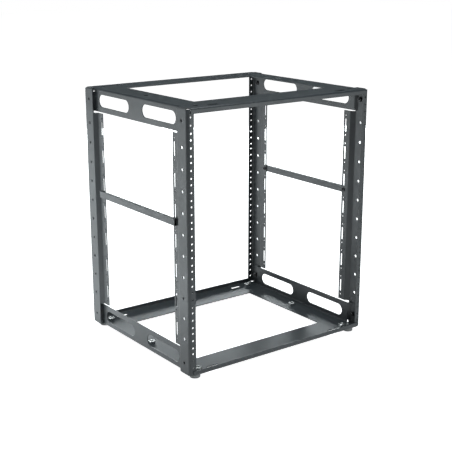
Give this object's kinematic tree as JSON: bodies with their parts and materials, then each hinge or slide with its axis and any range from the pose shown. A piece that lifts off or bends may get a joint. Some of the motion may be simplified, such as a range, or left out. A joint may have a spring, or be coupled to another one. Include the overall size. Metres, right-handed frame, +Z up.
{
  "type": "open rack frame",
  "caption": "Open 19-inch equipment rack frame: folded steel corner posts with tapped rails, flanged top and bottom pans with slotted sides, side bars and feet.",
  "frame": {"origin": "on the floor, under the middle of the frame", "axes": "+Z up, front of the rack towards -Y, +X to the right seen from the front"},
  "size_m": [0.4826, 0.4104, 0.5657],
  "materials": {
    "black_coat": "satin powder coat",
    "zinc": "zinc plated",
    "foot": "matte grey"
  },
  "bodies": {
    "root": {"bottom_pan": "black_coat", "top_pan": "black_coat", "left_bar": "black_coat", "middle_left_nut": "zinc", "right_bar": "black_coat", "middle_right_nut": "zinc", "front_left_post": "black_coat", "front_left_foot": "foot", "front_left_nut": "zinc", "front_left_lower_tab_nut": "zinc", "front_left_upper_tab_nut": "zinc", "rear_left_post": "black_coat", "rear_left_foot": "foot", "rear_left_nut": "zinc", "rear_left_lower_tab_nut": "zinc", "rear_left_upper_tab_nut": "zinc", "front_right_post": "black_coat", "front_right_foot": "foot", "front_right_nut": "zinc", "front_right_lower_tab_nut": "zinc", "front_right_upper_tab_nut": "zinc", "rear_right_post": "black_coat", "rear_right_foot": "foot", "rear_right_nut": "zinc", "rear_right_lower_tab_nut": "zinc", "rear_right_upper_tab_nut": "zinc"}
  },
  "joints": []
}
